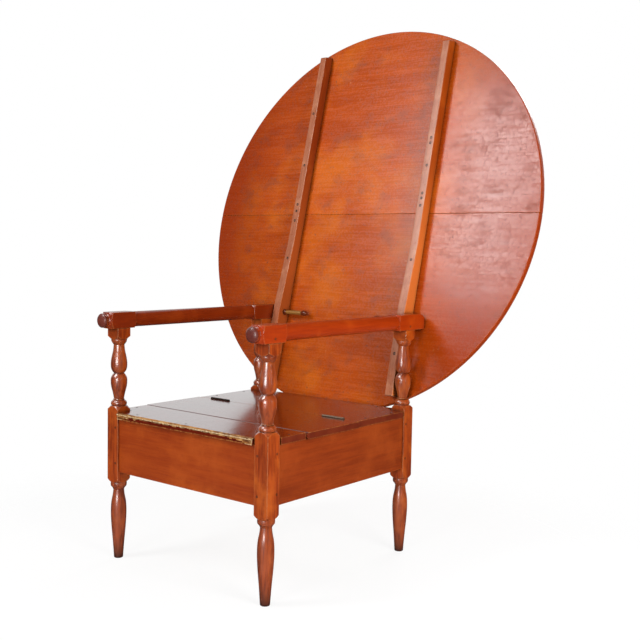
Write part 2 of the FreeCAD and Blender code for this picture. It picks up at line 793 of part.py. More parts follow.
def build():
    """Every piece by its node's name."""
    pieces = {}
    blank_post = post_blank()
    blank_arm = arm_blank()
    arm_pegs = []
    pins = []
    for name, side in SIDES:
        arm = blank_arm.copy()
        arm.translate(vec(side * post_x, 0, 0))
        arm = arm.cut(pivot_bore(side, running))
        for end_name, end in ENDS:
            post = blank_post.copy()
            post.translate(vec(side * post_x, end * post_y, 0))
            tenon_half = tenon_side / 2
            low = (post_x - tenon_half, end * post_y - tenon_half, arm_bottom - overrun)
            high = (post_x + tenon_half, end * post_y + tenon_half, arm_bottom + tenon_height)
            arm = arm.cut(mirrored_box(side, low, high))
            peg = arm_peg(side, end)
            arm = arm.cut(peg)
            arm_pegs.append(peg)
            post_pins = apron_pins(side, end)
            pins.extend(post_pins)
            cutters = [mortise(side, end, True), mortise(side, end, False), peg] + post_pins
            pieces["post_%s_%s" % (end_name, name)] = cut_all(post, cutters)
        pieces["arm_%s" % name] = arm
    pieces["arm_pegs"] = Part.makeCompound(arm_pegs)
    pieces["apron_pegs"] = Part.makeCompound(pins)

    nails = seat_nails() + floor_nails() + ledger_nails()
    reach_y = post_y - half
    aprons = {
        "front": apron_parts(-inner_x, inner_x, front_outer, front_inner, True),
        "rear": apron_parts(-inner_x, inner_x, rear_inner, rear_outer, True),
        "left": apron_parts(-reach_y, reach_y, -side_outer, -side_inner, False),
        "right": apron_parts(-reach_y, reach_y, side_inner, side_outer, False),
    }
    for name, parts in aprons.items():
        board_shape = parts[0].fuse(parts[1:]).removeSplitter()
        pieces["apron_%s" % name] = cut_all(board_shape, pins + nails)

    front, lid, rear = seat_boards()
    fixed_screws = []
    lid_screws = []
    for name, side in SIDES:
        x = side * hinge_offset
        fixed = hinge_screws(x, 1)
        moving = hinge_screws(x, -1)
        rear = cut_all(rear, [leaf_recess(x, 1)] + fixed)
        lid = cut_all(lid, [leaf_recess(x, -1)] + moving)
        pieces["hinge_leaf_fixed_%s" % name] = cut_all(hinge_leaf(x, 1), fixed)
        pieces["hinge_leaf_lid_%s" % name] = cut_all(hinge_leaf(x, -1), moving)
        pieces["hinge_pin_%s" % name] = hinge_pin(x)
        fixed_screws.extend(fixed)
        lid_screws.extend(moving)
    pieces["seat_front_board"] = cut_all(front, nails)
    pieces["seat_lid"] = lid
    pieces["seat_rear_board"] = cut_all(rear, nails)
    pieces["hinge_screws_fixed"] = Part.makeCompound(fixed_screws)
    pieces["hinge_screws_lid"] = Part.makeCompound(lid_screws)

    for index, plank in enumerate(floor_boards()):
        pieces["box_floor_board_%d" % (index + 1)] = cut_all(plank, nails)
    for name, side in SIDES:
        pieces["box_ledger_%s" % name] = cut_all(ledger_strip(side), nails)
    pieces["cut_nails"] = Part.makeCompound(nails)

    disc = top_disc()
    dowels = top_dowels()
    all_screws = []
    screw_holes = []
    for name, side in SIDES:
        whole, slotted = cleat_screws(name, side)
        screw_holes.extend(whole)
        all_screws.extend(slotted)
        bar = cut_all(cleat(side), whole + [pivot_bore(side, running)])
        pieces["cleat_%s" % name] = lean_back(bar)
        pieces["pivot_peg_%s" % name] = pivot_peg(side)
    for name, upward in (("upper", 1), ("lower", -1)):
        half_disc = cut_all(disc.common(board_space(upward)), dowels + screw_holes)
        pieces["top_board_%s" % name] = lean_back(half_disc)
    pieces["top_dowels"] = lean_back(Part.makeCompound(dowels))
    pieces["cleat_screws"] = lean_back(Part.makeCompound(all_screws))
    return pieces


os.makedirs("parts", exist_ok=True)
for node, shape in build().items():
    shape.translate(vec(0, -middle_y, 0))
    shape.exportStep("parts/%s.step" % node)
    print("%-24s %d solids, valid %s, %.0f mm3" % (node, len(shape.Solids), shape.isValid(), shape.Volume))
print("pivot of the top: y %.3f, z %.3f" % (pivot_y - middle_y, pivot_z))
print("hinge of the lid: y %.3f, z %.3f" % (hinge_y - middle_y, hinge_z))
print("middle of the posts: y %.3f" % -middle_y)
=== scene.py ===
import json
import math

import bpy
from mathutils import Matrix, Vector, noise


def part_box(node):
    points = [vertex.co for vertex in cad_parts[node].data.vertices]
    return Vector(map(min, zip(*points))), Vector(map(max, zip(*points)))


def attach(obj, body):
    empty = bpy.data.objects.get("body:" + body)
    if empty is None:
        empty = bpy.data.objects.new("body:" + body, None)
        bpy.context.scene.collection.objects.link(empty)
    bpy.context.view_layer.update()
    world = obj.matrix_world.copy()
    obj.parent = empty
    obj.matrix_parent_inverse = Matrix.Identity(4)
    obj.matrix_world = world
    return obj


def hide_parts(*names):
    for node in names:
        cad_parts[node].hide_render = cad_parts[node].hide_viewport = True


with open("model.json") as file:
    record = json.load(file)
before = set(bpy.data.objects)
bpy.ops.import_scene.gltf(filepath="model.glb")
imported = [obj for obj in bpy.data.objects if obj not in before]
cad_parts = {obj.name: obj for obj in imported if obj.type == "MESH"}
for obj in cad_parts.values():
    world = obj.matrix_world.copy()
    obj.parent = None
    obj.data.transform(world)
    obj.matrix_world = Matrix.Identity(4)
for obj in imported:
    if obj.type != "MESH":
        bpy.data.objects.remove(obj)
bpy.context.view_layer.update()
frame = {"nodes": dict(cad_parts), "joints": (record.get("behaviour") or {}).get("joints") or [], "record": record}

# An old chair table: a box-seated armchair under red shellac, whose round back tips down over the arms.
# Metres, in the frame of the CAD model: +Z is up and the chair faces -Y.
MM = 0.001

# What the frame says
record = frame["record"]
joints = {joint["name"]: joint for joint in frame["joints"]}
body_of = {node: body for body, nodes in record["behaviour"]["bodies"].items() for node in nodes}
slot_of = {part["node"]: part["material_slot"] for part in record["subparts"]}
pivot = Vector(joints["top_tilt"]["pos_m"])
lean = math.radians(joints["top_tilt"]["range_deg"][1] - 90)
hinge_axis = Vector(joints["lid_hinge"]["pos_m"])
SIDES = (("left", -1), ("right", 1))
POSTS = ("post_front_left", "post_front_right", "post_rear_left", "post_rear_right")
post_low, post_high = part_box("post_front_right")
rear_low, rear_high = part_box("post_rear_right")
arm_low, arm_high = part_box("arm_right")
cleat_low, cleat_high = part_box("cleat_right")
peg_low, peg_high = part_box("pivot_peg_right")
half_blank = (post_high.x - post_low.x) / 2
post_x = (post_low.x + post_high.x) / 2
front_y = (post_low.y + post_high.y) / 2
rear_y = (rear_low.y + rear_high.y) / 2
middle_y = (front_y + rear_y) / 2

# Wood that has shrunk and been rubbed leaves its pegs, nails and screws standing this much proud
SHRUNK = 0.25 * MM
# Rounding of a plain arris, and the steps in which a rounding goes
ARRIS = 1.6 * MM
ROUND_STEPS = 3
# How far a tool reaches past the wood, how near a plane a point is on it, and what counts as one point
PAST = 2 * MM
NEAR = 1 * MM
MERGE = 0.005 * MM
# Steps round a turned piece and along each stretch of its outline, and the sides of a drill
TURNED_STEPS = 56
CURVE_STEPS = 5
DRILL_SIDES = 40
# Degrees up to which faces are shaded as one, on turned and on planed pieces
TURNED_SMOOTH = 24
PLANED_SMOOTH = 32
# Share of a face's direction along an axis: flat on the blank, facing that way, level, and already rounded
FLAT_FACE = 0.999
FACING = 0.7
LEVEL = 0.98
ROUNDED = 0.2

# Posts: heights of the square block, and height of the head below the arm
BLOCK_LOW = 236 * MM
BLOCK_HIGH = 428 * MM
HEAD = 21 * MM
# Turned outlines: share of the zone's length, share of half the blank, and whether the line turns a corner
FOOT_OUTLINE = (
    (0.0, 0.49, True), (0.006, 0.555, True), (0.20, 0.70, False), (0.44, 0.905, False),
    (0.595, 0.957, False), (0.70, 0.885, False), (0.785, 0.72, False), (0.845, 0.652, True),
    (0.866, 0.76, False), (0.889, 0.957, True), (0.912, 0.985, False), (0.937, 0.965, True),
    (0.966, 1.28, False),
)
SPINDLE_OUTLINE = (
    (0.030, 1.22, False), (0.058, 1.0, True), (0.064, 0.89, True), (0.071, 0.93, False),
    (0.092, 0.975, False), (0.118, 0.90, False), (0.137, 0.72, True), (0.139, 0.62, True),
    (0.147, 0.69, False), (0.156, 0.61, True), (0.239, 0.76, False), (0.31, 0.93, False),
    (0.375, 1.0, False), (0.437, 0.96, False), (0.471, 0.81, False), (0.497, 0.62, True),
    (0.524, 0.82, False), (0.556, 0.94, False), (0.61, 1.0, False), (0.683, 0.945, False),
    (0.747, 0.83, False), (0.803, 0.72, False), (0.876, 0.65, True), (0.90, 0.82, True),
    (0.925, 0.935, False), (0.949, 0.955, True), (0.976, 1.20, False),
)

# Arms: turned knob, square blocks over the posts, round bar between them
KNOB = 24 * MM
BLOCK_REACH = 43.5 * MM
REAR_BLOCK_REACH = 56 * MM
SHOULDER = 7 * MM
BAR_RADIUS = 22 * MM
SHOULDER_SHARE = 0.97
HEEL_RADIUS = 48 * MM
HEEL_RUN = 12.5 * MM
HEEL_STROKES = 9
HEEL_SHARP = 30
BUTTON_SHARE = 0.58
KNOB_OUTLINE = (
    (1.0, 0.0, True), (0.985, 0.30, False), (0.92, 0.60, False), (0.83, 0.78, False),
    (0.71, 0.865, False), (0.62, 0.81, True), (0.56, 0.68, True), (0.43, 0.80, False),
    (0.31, 0.68, True), (0.29, 0.70, True), (0.12, 0.93, False),
)
BORE_RADIUS = 7.6 * MM
BORE_WALL = 8 * MM

# Top and cleats
TOP_THICKNESS = 20 * MM
TOP_HANG = 296.5 * MM
TOP_JOINT_UP = 9 * MM
REST_GAP = 0.3 * MM
RIM_ROUND = 3 * MM
RIM_SHARP = 60
RIM_SEGMENTS = 240
JOINT_ROUND = 1.8 * MM
JOINT_STEPS = 2
CLEAT_DEPTH = 35.5 * MM
CLEAT_PIVOT_DEPTH = 50 * MM
CLEAT_FOOT_DEPTH = 44 * MM
CLEAT_SWELL = 230 * MM
CLEAT_LOWER_GAP = 9 * MM
CLEAT_UPPER_GAP = 5 * MM
CLEAT_END_SLOPE = 11 * MM
CLEAT_ROUND = 2.6 * MM
CLEAT_TAPER = 3 * MM

# Box and seat
TENON = 20 * MM
NOTCH_GAP = 3 * MM
SEAT_ARRIS = 2 * MM
KNUCKLE_SPACE = 3.9 * MM
KNUCKLE_END_GAP = 0.5 * MM
KNUCKLE_SIDES = 32
# Front edge of the seat: its rounding, the cuts that let it be chipped, the chips, and how far it is rubbed
FRONT_ARRIS = 5 * MM
FRONT_SHARP = 50
FRONT_CUTS = 150
FACE_CUTS = 6
FRONT_CHIPS = 2.5 * MM
CHIP_LENGTH = 16 * MM
RUBBED_ARRISES = 1.6
RUBBED_END_POWER = 8
# Lid: its front end is rounded over on all four edges, and rubbed to the right of this x
LID_ROUND = 9 * MM
LID_ROUND_STEPS = 6
LID_RUBBED_FROM = 100 * MM

# Pivot peg: length and radius of each zone, and its outline in shares of them
PEG_SHANK_RADIUS = 7.5 * MM
PEG_ZONES = {"knob": (26 * MM, 8.75 * MM), "grip": (64 * MM, 7.0 * MM), "collar": (11 * MM, 8.75 * MM)}
PEG_OUTLINES = {
    "knob": ((0.0, 0.0, True), (1 / 26, 0.30, False), (5 / 26, 0.72, False), (12 / 26, 0.97, False),
             (18 / 26, 1.0, False), (1.0, 0.80, True)),
    "grip": ((0.0, 0.94, True), (0.5, 1.0, False), (1.0, 0.94, True)),
    "collar": ((0.0, 0.84, True), (0.5, 1.0, False), (1.0, 0.92, True)),
}


# Modelling by hand
def begin():
    """Out of edit mode, with nothing selected."""
    if bpy.context.mode != "OBJECT":
        bpy.ops.object.mode_set(mode="OBJECT")
    bpy.ops.object.select_all(action="DESELECT")


def take(piece):
    """Make one piece the selected and active one."""
    begin()
    piece.select_set(True)
    bpy.context.view_layer.objects.active = piece
    return piece


def apply_place(piece):
    """Put a piece's place, turn and size into its mesh."""
    take(piece)
    bpy.ops.object.transform_apply(location=True, rotation=True, scale=True)
    return piece


def block(name, low, high):
    """A squared length of wood between two corners, for further work."""
    low, high = Vector(low), Vector(high)
    begin()
    bpy.ops.mesh.primitive_cube_add(size=1, location=(low + high) / 2, scale=high - low)
    piece = bpy.context.object
    piece.name = name
    return apply_place(piece)


def rod(start, end, radius, sides):
    """A round tool along X between two points."""
    begin()
    bpy.ops.mesh.primitive_cylinder_add(vertices=sides, radius=radius, depth=(end - start).length,
                                        location=(start + end) / 2, rotation=(0, math.pi / 2, 0))
    return apply_place(bpy.context.object)


def modify(piece, kind, **settings):
    """Add a modifier with its settings and apply it."""
    take(piece)
    modifier = piece.modifiers.new(kind.lower(), kind)
    for key, value in settings.items():
        setattr(modifier, key, value)
    bpy.ops.object.modifier_apply(modifier=modifier.name)
    return piece


def ease(piece, width, segments=ROUND_STEPS, angle=25):
    """Round the arrises of a piece that are sharper than an angle in degrees."""
    return modify(piece, "BEVEL", width=width, segments=segments, limit_method="ANGLE",
                  angle_limit=math.radians(angle), use_clamp_overlap=True)


def pick(piece, test):
    """Into edit mode, with only the points that pass a test selected."""
    take(piece)
    bpy.ops.object.mode_set(mode="EDIT")
    bpy.ops.mesh.select_mode(type="VERT")
    bpy.ops.mesh.select_all(action="DESELECT")
    bpy.ops.object.mode_set(mode="OBJECT")
    for vertex in piece.data.vertices:
        vertex.select = test(vertex.co)
    bpy.ops.object.mode_set(mode="EDIT")


def cut(piece, tool, operation="DIFFERENCE"):
    """Cut a piece with a tool, and put the tool away."""
    modify(piece, "BOOLEAN", object=tool, operation=operation, solver="EXACT")
    bpy.data.objects.remove(tool)
    pick(piece, lambda point: True)
    bpy.ops.mesh.remove_doubles(threshold=MERGE)
    begin()
    return piece


def slide(piece, test, move):
    """Move the points that pass a test."""
    pick(piece, test)
    bpy.ops.transform.translate(value=move)
    begin()


def turn(name, outline):
    """Turn an outline of (height, radius, corner) points about the Z axis, as on a lathe."""
    begin()
    bpy.ops.curve.primitive_bezier_curve_add()
    drawn = bpy.context.object
    drawn.name = name
    drawn.data.resolution_u = CURVE_STEPS
    points = drawn.data.splines[0].bezier_points
    points.add(len(outline) - len(points))
    for point, (height, radius, corner) in zip(points, outline):
        point.co = (radius, 0, height)
        point.handle_left_type = point.handle_right_type = "VECTOR" if corner else "AUTO"
    bpy.ops.object.convert(target="MESH")
    piece = apply_place(bpy.context.object)
    pick(piece, lambda point: True)
    bpy.ops.mesh.spin(steps=TURNED_STEPS, angle=2 * math.pi, center=(0, 0, 0), axis=(0, 0, 1))
    bpy.ops.mesh.select_all(action="SELECT")
    bpy.ops.mesh.remove_doubles(threshold=2 * MERGE)
    bpy.ops.mesh.normals_make_consistent(inside=False)
    begin()
    return piece


def moved(piece, matrix):
    """Move a piece in its mesh."""
    piece.matrix_world = matrix
    return apply_place(piece)


def copy_of(piece, name, matrix):
    """A copy with its own mesh, moved into place."""
    twin = piece.copy()
    twin.data = piece.data.copy()
    twin.name = name
    bpy.context.scene.collection.objects.link(twin)
    return moved(twin, matrix)


def refinish(piece, index, test):
    """Give the faces that pass a test another of the piece's finishes."""
    for face in piece.data.polygons:
        if test(face):
            face.material_index = index


def dress(piece, node, *finishes, turned=False):
    """Give a piece its finishes, and let it stand for its CAD node on the node's body."""
    take(piece)
    bpy.ops.object.shade_smooth_by_angle(angle=math.radians(TURNED_SMOOTH if turned else PLANED_SMOOTH))
    if not turned:
        modify(piece, "WEIGHTED_NORMAL", keep_sharp=True)
    piece.data.materials.clear()
    for finish in finishes:
        piece.data.materials.append(finish)
    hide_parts(node)
    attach(piece, body_of[node])
    return piece


# The round top stands upright while it is made, and is then leaned back about the pivot
lean_back = Matrix.Translation(pivot) @ Matrix.Rotation(-lean, 4, "X") @ Matrix.Translation(-pivot)
top_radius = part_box("top_board_lower")[1].x
underside_y = pivot.y + arm_high.z - pivot.z + REST_GAP
top_centre = Vector((0, underside_y + TOP_THICKNESS / 2, pivot.z + top_radius - TOP_HANG))
joint_z = top_centre.z + TOP_JOINT_UP


# Finishes
# Sockets by number, in a MapRange node: 0 is the value, 1 and 2 are from, 3 and 4 are to
# Sockets by number, in a Mix node: 0 is the share, 2 and 3 are plain numbers, 6 and 7 are colours
SOFT = {"interpolation_type": "SMOOTHSTEP"}
COLOUR = {"data_type": "RGBA"}
TEXTURE = {"vector_type": "TEXTURE"}
# Colours of dark flecks, of lodged soil with painted shade in corners, of old stains and of nicks down to the wood
FLECK_COLOUR = "4A1A08"
DIRT_AND_SHADE_COLOUR = "2C0C05"
STAIN_COLOUR = "66260F"
NICK_COLOUR = "DDA070"
# Length of the grain's lines and bands for their width, and the size of the other patterns. The lines are
# millimetres wide, coarser than those of real wood, so that they show.
LINE_STRETCH = 22
BAND_STRETCH = 9
SCUFF_SIZE = 7 * MM
WAVE_SIZE = 60 * MM
STAIN_WIDTH = 62 * MM
STAIN_LENGTH = 78 * MM
NICK_SIZE = 16 * MM
# The levels of a pattern between which its mark sets in, and its strength where all woods share it
TONE = {1: 0.36, 2: 0.64}
THIN = {1: 0.46, 2: 0.72, 4: 0.8}
FLECK = {1: 0.56, 2: 0.70}
STAIN = {1: 0.50, 2: 0.70}
NICK = {1: 0.70, 2: 0.76, 4: 0.6}
RUBBED = {1: 0.38, 2: 0.60}
DULL = {1: 0.35, 2: 0.65}
TINT_MOST = 0.9
# Arrises and corners, by how open a point is: where the film is rubbed, and where lodged soil and painted shade
# darken it
EDGE = {1: 0.92, 2: 0.55}
CORNER_DIRT_AND_SHADE = {1: 0.84, 2: 0.30}
GROOVE_DIRT_AND_SHADE = {1: 0.95, 2: 0.45}
DIRT_AND_SHADE_REACH = 20 * MM
OPEN_SAMPLES = 6
# Share of the grain's lines in the uneven gloss, dullness of a stain, depth of the swell and of the grain
LINES_IN_GLOSS = 0.35
STAIN_DULLS = 0.25
SWELL_DEPTH = 0.5 * MM
GRAIN_DEPTH = 0.12 * MM
# Wood without a finish: width and length of its lines, where they set in, and their depth
BARE_LINE = (6 * MM, 120 * MM)
BARE_TONE = {1: 0.35, 2: 0.65}
BARE_DEPTH = 0.2 * MM
# Iron: size of the rust, where it sets in, its depth, and roughness and metal from clean scale to rust
RUST_SIZE = 4 * MM
RUST = {1: 0.45, 2: 0.65}
RUST_DEPTH = 0.15 * MM
IRON_DULL = {3: 0.42, 4: 0.75}
IRON_METAL = {3: 0.9, 4: 0.2}


def linear(code):
    """An sRGB hex colour as linear RGBA."""
    values = [int(code[i:i + 2], 16) / 255 for i in (0, 2, 4)]
    return tuple(v / 12.92 if v <= 0.04045 else ((v + 0.055) / 1.055) ** 2.4 for v in values) + (1.0,)


def add(tree, kind, inputs=None, **settings):
    """Add a shader node with its own settings, and its sockets set or linked."""
    made = tree.nodes.new("ShaderNode" + kind)
    for key, value in settings.items():
        setattr(made, key, value)
    for key, value in (inputs or {}).items():
        if isinstance(value, bpy.types.NodeSocket):
            tree.links.new(value, made.inputs[key])
        else:
            made.inputs[key].default_value = value
    return made


def blank_material(name):
    """A new material with an empty node tree."""
    material = bpy.data.materials.new(name)
    material.use_nodes = True
    material.node_tree.nodes.clear()
    return material, material.node_tree


def along_grain(axis, width, length):
    """The reach of a pattern in metres: long down the grain and narrow across it."""
    reach = [width, width, width]
    reach[axis] = length
    return reach


def shellacked_wood(name, along, deep, warm, pale, bare, slant=0.0, streak=5 * MM, band=30 * MM,
                    patch=140 * MM, figure=0.6, specular=0.2, gloss=0.3, film_roughness=0.16,
                    film_ior=1.5, roughness=0.36, scuff=0.15, flecks=0.2, rub=3 * MM, wear=0.7,
                    dirt_and_shade=0.7, ripple=0.1, relief=0.2, crannies=CORNER_DIRT_AND_SHADE, tint=None, stain=0.0):
    """Old shellac over wood: a clear red-brown film, thin and paler in soft patches, rubbed to bare wood
    along the arrises, and darker in corners and grooves, where painted shade and lodged soil are set by how
    open a point is. Fine lines and broad bands of the grain show through it, and the gloss is broken up by
    small scuffs. A tint shades the film towards another colour with the distance from a centre. A stain adds
    dark bruises and small pale nicks. Streaks, bands and patches are given by their widths, and rub by how
    far from an arris it reaches."""
    material, tree = blank_material(name)
    place = add(tree, "TexCoord").outputs["Object"]
    lines = add(tree, "Mapping", {"Vector": place, "Rotation": (slant, 0, 0),
                                  "Scale": along_grain(along, streak, LINE_STRETCH * streak)},
                **TEXTURE).outputs[0]
    lines = add(tree, "TexNoise", {"Vector": lines, "Scale": 1.0, "Detail": 4.0,
                                   "Roughness": 0.6}).outputs[0]
    bands = add(tree, "Mapping", {"Vector": place, "Rotation": (slant, 0, 0),
                                  "Scale": along_grain(along, band, BAND_STRETCH * band)},
                **TEXTURE).outputs[0]
    bands = add(tree, "TexNoise", {"Vector": bands, "Scale": 1.0, "Detail": 3.0,
                                   "Distortion": 0.4}).outputs[0]
    patches = add(tree, "TexNoise", {"Vector": place, "Scale": 1 / patch, "Detail": 4.0,
                                     "Roughness": 0.6}).outputs[0]
    scuffs = add(tree, "TexNoise", {"Vector": place, "Scale": 1 / SCUFF_SIZE, "Detail": 5.0,
                                    "Roughness": 0.7}).outputs[0]
    waves = add(tree, "TexNoise", {"Vector": place, "Scale": 1 / WAVE_SIZE, "Detail": 1.0}).outputs[0]

    tone = add(tree, "Mix", {0: 0.5, 2: bands, 3: lines}).outputs[0]
    tone = add(tree, "MapRange", {0: tone, **TONE, 3: 0.5 - figure / 2, 4: 0.5 + figure / 2},
               **SOFT).outputs[0]
    thin = add(tree, "MapRange", {0: patches, **THIN}, **SOFT).outputs[0]
    film = add(tree, "Mix", {0: tone, 6: linear(deep), 7: linear(warm)}, **COLOUR).outputs[2]
    film = add(tree, "Mix", {0: thin, 6: film, 7: linear(pale)}, **COLOUR).outputs[2]
    if tint:
        centre, reach, start, end, shade = tint
        away = add(tree, "Mapping", {"Vector": place, "Location": centre, "Scale": reach},
                   **TEXTURE).outputs[0]
        away = add(tree, "VectorMath", {0: away}, operation="LENGTH").outputs["Value"]
        tinted = add(tree, "MapRange", {0: away, 1: start, 2: end, 4: TINT_MOST}, **SOFT).outputs[0]
        film = add(tree, "Mix", {0: tinted, 6: film, 7: linear(shade)}, **COLOUR).outputs[2]
    if stain:
        bruises = add(tree, "Mapping", {"Vector": place,
                                        "Scale": along_grain(along, STAIN_WIDTH, STAIN_LENGTH)},
                      **TEXTURE).outputs[0]
        bruises = add(tree, "TexNoise", {"Vector": bruises, "Scale": 1.0, "Detail": 6.0,
                                         "Roughness": 0.66, "Distortion": 0.3}).outputs[0]
        bruised = add(tree, "MapRange", {0: bruises, **STAIN, 4: stain}, **SOFT).outputs[0]
        film = add(tree, "Mix", {0: bruised, 6: film, 7: linear(STAIN_COLOUR)}, **COLOUR).outputs[2]
        nicks = add(tree, "TexNoise", {"Vector": place, "Scale": 1 / NICK_SIZE, "Detail": 3.0,
                                       "Roughness": 0.7}).outputs[0]
        nicked = add(tree, "MapRange", {0: nicks, **NICK}).outputs[0]
        film = add(tree, "Mix", {0: nicked, 6: film, 7: linear(NICK_COLOUR)}, **COLOUR).outputs[2]
    specks = add(tree, "MapRange", {0: scuffs, **FLECK, 4: flecks}, **SOFT).outputs[0]
    film = add(tree, "Mix", {0: specks, 6: film, 7: linear(FLECK_COLOUR)}, **COLOUR).outputs[2]

    within = add(tree, "AmbientOcclusion", {"Distance": rub}, samples=OPEN_SAMPLES, inside=True,
                 only_local=True).outputs["AO"]
    edge = add(tree, "MapRange", {0: within, **EDGE}, **SOFT).outputs[0]
    rubbed = add(tree, "MapRange", {0: scuffs, **RUBBED, 4: wear}, **SOFT).outputs[0]
    worn = add(tree, "Math", {0: edge, 1: rubbed}, operation="MULTIPLY").outputs[0]
    film = add(tree, "Mix", {0: worn, 6: film, 7: linear(bare)}, **COLOUR).outputs[2]

    # Painted shade with lodged soil: the film darkens where little of the room reaches, in corners and grooves
    open_air = add(tree, "AmbientOcclusion", {"Distance": DIRT_AND_SHADE_REACH}, samples=OPEN_SAMPLES).outputs["AO"]
    dirt_and_shade_mask = add(tree, "MapRange", {0: open_air, **crannies, 4: dirt_and_shade}, **SOFT).outputs[0]
    film = add(tree, "Mix", {0: dirt_and_shade_mask, 6: film, 7: linear(DIRT_AND_SHADE_COLOUR)}, **COLOUR).outputs[2]

    mottle = add(tree, "Mix", {0: LINES_IN_GLOSS, 2: scuffs, 3: lines}).outputs[0]
    dull = add(tree, "MapRange", {0: mottle, **DULL, 3: roughness - scuff / 3,
                                  4: roughness + 2 * scuff / 3}).outputs[0]
    if stain:
        dull = add(tree, "Math", {0: bruised, 1: STAIN_DULLS, 2: dull}, operation="MULTIPLY_ADD").outputs[0]
    swell = add(tree, "Bump", {"Strength": ripple, "Distance": SWELL_DEPTH, "Height": waves}).outputs[0]
    grain = add(tree, "Bump", {"Strength": relief, "Distance": GRAIN_DEPTH, "Height": lines,
                               "Normal": swell}).outputs[0]
    shader = add(tree, "BsdfPrincipled", {
        "Base Color": film, "Roughness": dull, "IOR": 1.5, "Specular IOR Level": specular,
        "Coat Weight": gloss, "Coat Roughness": film_roughness, "Coat IOR": film_ior,
        "Normal": grain, "Coat Normal": swell,
    })
    add(tree, "OutputMaterial", {"Surface": shader.outputs[0]})
    return material


def bare_wood(name, along, dark, light, roughness=0.7):
    """Wood that has no film, or has lost it: dull, with fine lines along the grain."""
    material, tree = blank_material(name)
    place = add(tree, "TexCoord").outputs["Object"]
    lines = add(tree, "Mapping", {"Vector": place, "Scale": along_grain(along, *BARE_LINE)},
                **TEXTURE).outputs[0]
    lines = add(tree, "TexNoise", {"Vector": lines, "Scale": 1.0, "Detail": 4.0,
                                   "Roughness": 0.6}).outputs[0]
    tone = add(tree, "MapRange", {0: lines, **BARE_TONE}, **SOFT).outputs[0]
    colour = add(tree, "Mix", {0: tone, 6: linear(dark), 7: linear(light)}, **COLOUR).outputs[2]
    relief = add(tree, "Bump", {"Strength": 0.3, "Distance": BARE_DEPTH, "Height": lines}).outputs[0]
    shader = add(tree, "BsdfPrincipled", {"Base Color": colour, "Roughness": roughness, "Normal": relief})
    add(tree, "OutputMaterial", {"Surface": shader.outputs[0]})
    return material


def old_iron(name, scale_colour, rust_colour):
    """Forged iron under its scale, with spots of rust on it."""
    material, tree = blank_material(name)
    place = add(tree, "TexCoord").outputs["Object"]
    spots = add(tree, "TexNoise", {"Vector": place, "Scale": 1 / RUST_SIZE, "Detail": 5.0,
                                   "Roughness": 0.7}).outputs[0]
    rust = add(tree, "MapRange", {0: spots, **RUST}, **SOFT).outputs[0]
    colour = add(tree, "Mix", {0: rust, 6: linear(scale_colour), 7: linear(rust_colour)},
                 **COLOUR).outputs[2]
    dull = add(tree, "MapRange", {0: rust, **IRON_DULL}).outputs[0]
    metal = add(tree, "MapRange", {0: rust, **IRON_METAL}).outputs[0]
    relief = add(tree, "Bump", {"Strength": 0.4, "Distance": RUST_DEPTH, "Height": spots}).outputs[0]
    shader = add(tree, "BsdfPrincipled", {"Base Color": colour, "Roughness": dull, "Metallic": metal,
                                          "Normal": relief})
    add(tree, "OutputMaterial", {"Surface": shader.outputs[0]})
    return material


# Tints: centre, reach along each axis, distances where the tint starts and where it is full, and colour.
# An endless reach leaves an axis out.
ENDLESS = 1000
TINT_LEFT = 50 * MM
FLOOR_TINT = ((0, 0, 0), (ENDLESS, ENDLESS, 1), 0.07, 0.0, "5A2408")
RIM_TINT = (lean_back @ top_centre - Vector((TINT_LEFT, 0, 0)), (1, 1, 5), 0.25, 0.55, "8E2E05")
# Painted light on the sides of the cleats: lighter round the pivot
PIVOT_PAINTED_LIGHT = {
    "left": (pivot, (ENDLESS, 1, 1), 0.6, 0.15, "A65020"),
    "right": (pivot, (ENDLESS, 1, 1), 0.6, 0.15, "CC6E30"),
}

# Maple of the posts, with fine strong figure
POST_WOOD = {"bare": "CE8E50", "streak": 3 * MM, "band": 11 * MM, "patch": 60 * MM, "figure": 1.0}
# Their square blocks: orange-brown and satin, with pale rubbed arrises
block_maple = shellacked_wood("shellacked_maple_blocks", 2, "742606", "A2420F", "B05214", gloss=0.4,
                              film_roughness=0.3, wear=0.9, dirt_and_shade=0.9, **POST_WOOD)
# Their turned lengths: browner, with broad bright highlights, lodged soil and painted shade in the grooves and
# dark near the floor
turned_maple = shellacked_wood("shellacked_maple_turned", 2, "702605", "A2440E", "AC5012", specular=0.8,
                               gloss=1.0, film_roughness=0.27, film_ior=1.9, wear=0.8, dirt_and_shade=0.95,
                               ripple=0.02, crannies=GROOVE_DIRT_AND_SHADE, tint=FLOOR_TINT, **POST_WOOD)
# Maple of the arms, redder than the rest and polished by hands
ARM_WOOD = {
    "bare": "C07A40", "streak": 4 * MM, "band": 14 * MM, "patch": 90 * MM, "gloss": 0.5,
    "film_roughness": 0.25, "roughness": 0.34, "ripple": 0.04,
}
arm_maple = {
    # The left arm's copy is darker than the right's: painted shade for its shaded inner side
    "left": shellacked_wood("shellacked_maple_left_arm_painted_shade", 1, "6C1E04", "842A06", "8E340A", **ARM_WOOD),
    "right": shellacked_wood("shellacked_maple_right_arm", 1, "882604", "A23405", "AC400A", **ARM_WOOD),
}
# End grain of the arm knobs, which drank the film and went a dark plum brown
knob_grain = shellacked_wood("dark_shellacked_end_grain", 1, "562018", "682C22", "743628", "9A6450",
                             streak=4 * MM, band=14 * MM, gloss=0.9, film_roughness=0.32, roughness=0.4,
                             ripple=0.02)
